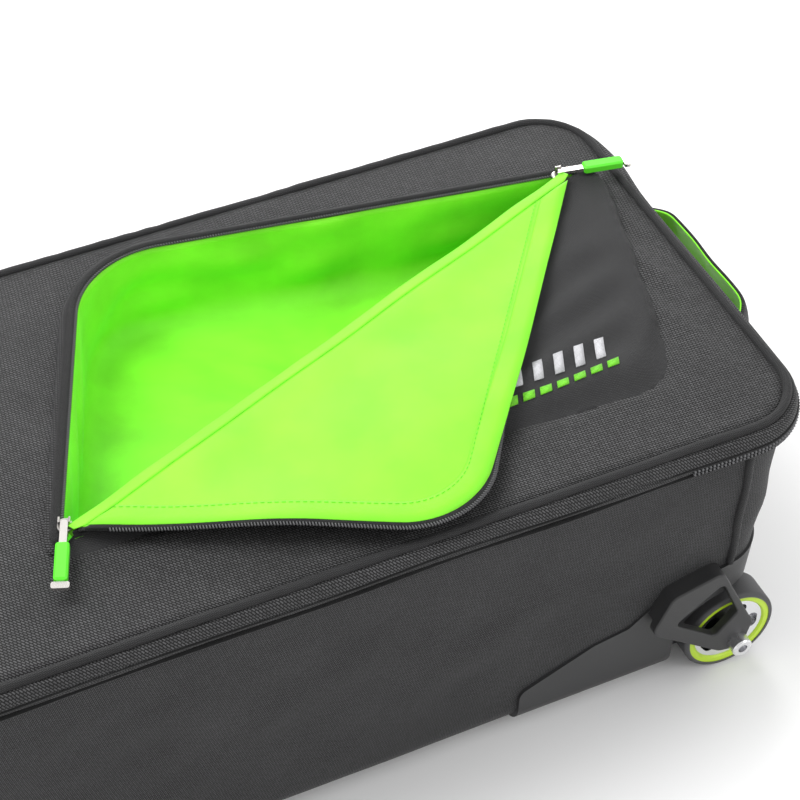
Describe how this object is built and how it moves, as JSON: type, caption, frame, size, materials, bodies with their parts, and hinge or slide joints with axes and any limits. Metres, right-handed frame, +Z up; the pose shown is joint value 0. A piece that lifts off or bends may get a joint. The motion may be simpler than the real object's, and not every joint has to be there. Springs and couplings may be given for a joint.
{
  "type": "wheeled snowboard bag",
  "caption": "Long padded snowboard bag with a zipped hinging lid, a lined lid pocket whose flap folds open, grab handles and inline wheels at one end.",
  "frame": {"origin": "on the ground under the middle of the bag", "axes": "+X towards the wheel end, +Y away from the side that the lid hinges on, +Z up"},
  "size_m": [1.7322, 0.376, 0.2559],
  "materials": {
    "shell_fabric": "woven charcoal polyester",
    "panel_fabric": "finer woven charcoal polyester",
    "base_fabric": "coated black base cloth",
    "foam": "closed-cell foam",
    "board": "plain sheet",
    "body_lining": "plain black lining",
    "lime_lining": "lime nylon lining",
    "zip_tape": "black woven tape",
    "zip_coil": "black nylon coil",
    "moulding": "fine-grained moulding",
    "webbing": "black webbing",
    "axle_steel": "zinc-plated",
    "tread": "matte polyurethane",
    "wheel_core": "satin lime",
    "wheel_hub": "bright",
    "slider_metal": "dark nickel",
    "grip_rubber": "satin lime"
  },
  "bodies": {
    "bag_body": {"front_wall": "shell_fabric", "back_wall": "shell_fabric", "wheel_end_wall": "shell_fabric", "handle_end_wall": "shell_fabric", "base_panel": "base_fabric", "wall_padding": "foam", "base_board": "board", "body_lining": "body_lining", "corner_piping": "shell_fabric", "base_runner_front": "moulding", "base_runner_back": "moulding", "kick_plate": "moulding", "wheel_housing_front": "moulding", "wheel_housing_back": "moulding", "axle_bolts": "axle_steel", "axle_nuts": "axle_steel", "axle_sleeves": "axle_steel", "body_zip_tape": "zip_tape", "body_zip_coil": "zip_coil", "handle_patches": "shell_fabric"},
    "wheel_front": {"wheel_front_tread": "tread", "wheel_front_core": "wheel_core", "wheel_front_hub": "wheel_hub", "wheel_front_bearings": "axle_steel"},
    "wheel_back": {"wheel_back_tread": "tread", "wheel_back_core": "wheel_core", "wheel_back_hub": "wheel_hub", "wheel_back_bearings": "axle_steel"},
    "lid": {"lid_band": "shell_fabric", "lid_piping": "shell_fabric", "lid_panel": "shell_fabric", "lid_padding": "foam", "lid_lining": "body_lining", "lid_zip_tape": "zip_tape", "lid_zip_coil": "zip_coil", "pocket_bag": "lime_lining", "pocket_gusset": "shell_fabric", "pocket_panel": "panel_fabric", "pocket_zip_coil": "zip_coil", "pocket_zip_tape": "zip_tape"},
    "pocket_flap": {"flap_shell": "panel_fabric", "flap_lining": "lime_lining", "flap_zip_coil": "zip_coil"},
    "slider_left": {"pocket_slider_left": "slider_metal"},
    "pull_left": {"pocket_pull_left": "slider_metal", "pocket_pull_left_grip": "grip_rubber"},
    "slider_rear": {"pocket_slider_rear": "slider_metal"},
    "pull_rear": {"pocket_pull_rear": "slider_metal", "pocket_pull_rear_grip": "grip_rubber"},
    "main_slider_left": {"main_slider_left": "slider_metal"},
    "main_pull_left": {"main_pull_left": "slider_metal", "main_pull_left_grip": "grip_rubber"},
    "main_slider_right": {"main_slider_right": "slider_metal"},
    "main_pull_right": {"main_pull_right": "slider_metal", "main_pull_right_grip": "grip_rubber"},
    "wheel_end_handle": {"wheel_end_handle": "webbing", "wheel_end_handle_lining": "lime_lining"},
    "handle_end_handle": {"handle_end_handle": "webbing"},
    "carry_handle_front": {"carry_handle_front": "webbing"},
    "carry_handle_back": {"carry_handle_back": "webbing"}
  },
  "joints": [
    {"name": "wheel_front_spin", "type": "hinge", "parent": "bag_body", "child": "wheel_front", "pos_m": [0.797, -0.158, 0.035], "axis": [0, 1, 0], "continuous": true},
    {"name": "wheel_back_spin", "type": "hinge", "parent": "bag_body", "child": "wheel_back", "pos_m": [0.797, 0.158, 0.035], "axis": [0, 1, 0], "continuous": true},
    {"name": "lid_open", "type": "hinge", "parent": "bag_body", "child": "lid", "pos_m": [0, -0.1815, 0.225], "axis": [1, 0, 0], "range_deg": [0, 150]},
    {"name": "pocket_flap_fold", "type": "hinge", "parent": "lid", "child": "pocket_flap", "pos_m": [0.364, -0.086, 0.2495], "axis": [-0.9265, -0.3764, 0], "range_deg": [0, 180]},
    {"name": "slider_left_travel", "type": "slide", "parent": "lid", "child": "slider_left", "axis": [0.3673, 0.9301, 0], "range_m": [0, 0.16]},
    {"name": "slider_rear_travel", "type": "slide", "parent": "lid", "child": "slider_rear", "axis": [-0.9865, 0.1635, 0], "range_m": [0, 0.26]},
    {"name": "pull_left_swing", "type": "hinge", "parent": "slider_left", "child": "pull_left", "pos_m": [0.36749, -0.07716, 0.253], "axis": [-0.9301, 0.3673, 0], "range_deg": [0, 150]},
    {"name": "pull_rear_swing", "type": "hinge", "parent": "slider_rear", "child": "pull_rear", "pos_m": [0.78863, 0.09187, 0.253], "axis": [-0.1635, -0.9865, 0], "range_deg": [0, 150]},
    {"name": "main_slider_left_travel", "type": "slide", "parent": "bag_body", "child": "main_slider_left", "axis": [-1, 0, 0], "range_m": [0, 0.72]},
    {"name": "main_slider_right_travel", "type": "slide", "parent": "bag_body", "child": "main_slider_right", "axis": [1, 0, 0], "range_m": [0, 0.72]},
    {"name": "main_pull_left_swing", "type": "hinge", "parent": "main_slider_left", "child": "main_pull_left", "pos_m": [-0.024, 0.1832, 0.225], "axis": [0, 0, -1], "range_deg": [0, 170]},
    {"name": "main_pull_right_swing", "type": "hinge", "parent": "main_slider_right", "child": "main_pull_right", "pos_m": [0.024, 0.1832, 0.225], "axis": [0, 0, 1], "range_deg": [0, 170]},
    {"name": "wheel_end_handle_drop", "type": "hinge", "parent": "bag_body", "child": "wheel_end_handle", "pos_m": [0.8395, 0, 0.1936], "axis": [0, 1, 0], "range_deg": [0, 60]},
    {"name": "handle_end_handle_drop", "type": "hinge", "parent": "bag_body", "child": "handle_end_handle", "pos_m": [-0.8395, 0, 0.1936], "axis": [0, -1, 0], "range_deg": [0, 60]},
    {"name": "carry_handle_front_lift", "type": "hinge", "parent": "bag_body", "child": "carry_handle_front", "pos_m": [0, -0.1755, 0.2], "axis": [-1, 0, 0], "range_deg": [0, 110]},
    {"name": "carry_handle_back_lift", "type": "hinge", "parent": "bag_body", "child": "carry_handle_back", "pos_m": [0, 0.1755, 0.2], "axis": [1, 0, 0], "range_deg": [0, 110]}
  ]
}
